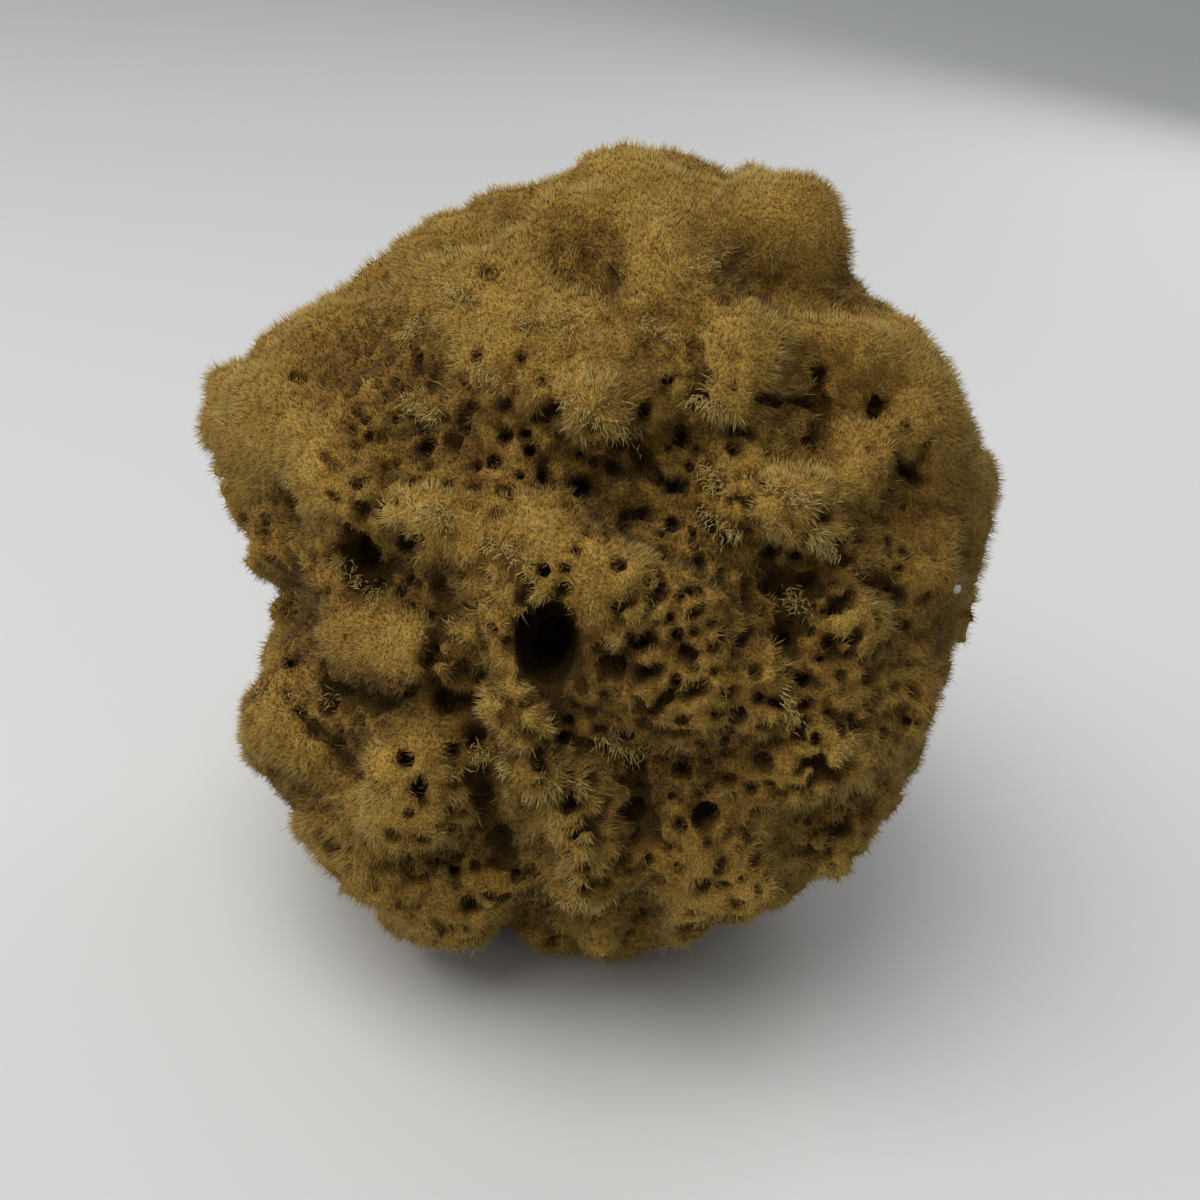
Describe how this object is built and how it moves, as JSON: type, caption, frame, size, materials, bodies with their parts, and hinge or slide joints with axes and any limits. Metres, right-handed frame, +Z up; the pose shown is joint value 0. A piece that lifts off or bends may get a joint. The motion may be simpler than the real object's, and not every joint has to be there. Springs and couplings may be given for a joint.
{
  "type": "sea sponge",
  "caption": "Dried sea sponge: a rounded porous lump with a deep opening in its broad face, furrowed lobes and a fibrous coat, standing on a flattened base.",
  "frame": {"origin": "middle of the bounding box in plan, at the level of the flattened base the sponge stands on", "axes": "+Z up; -Y towards the broad face with the main opening; +X towards that face's right side"},
  "size_m": [0.1518, 0.137, 0.1488],
  "materials": {
    "sponge": "matte"
  },
  "bodies": {
    "root": {"sponge": "sponge"}
  },
  "joints": []
}
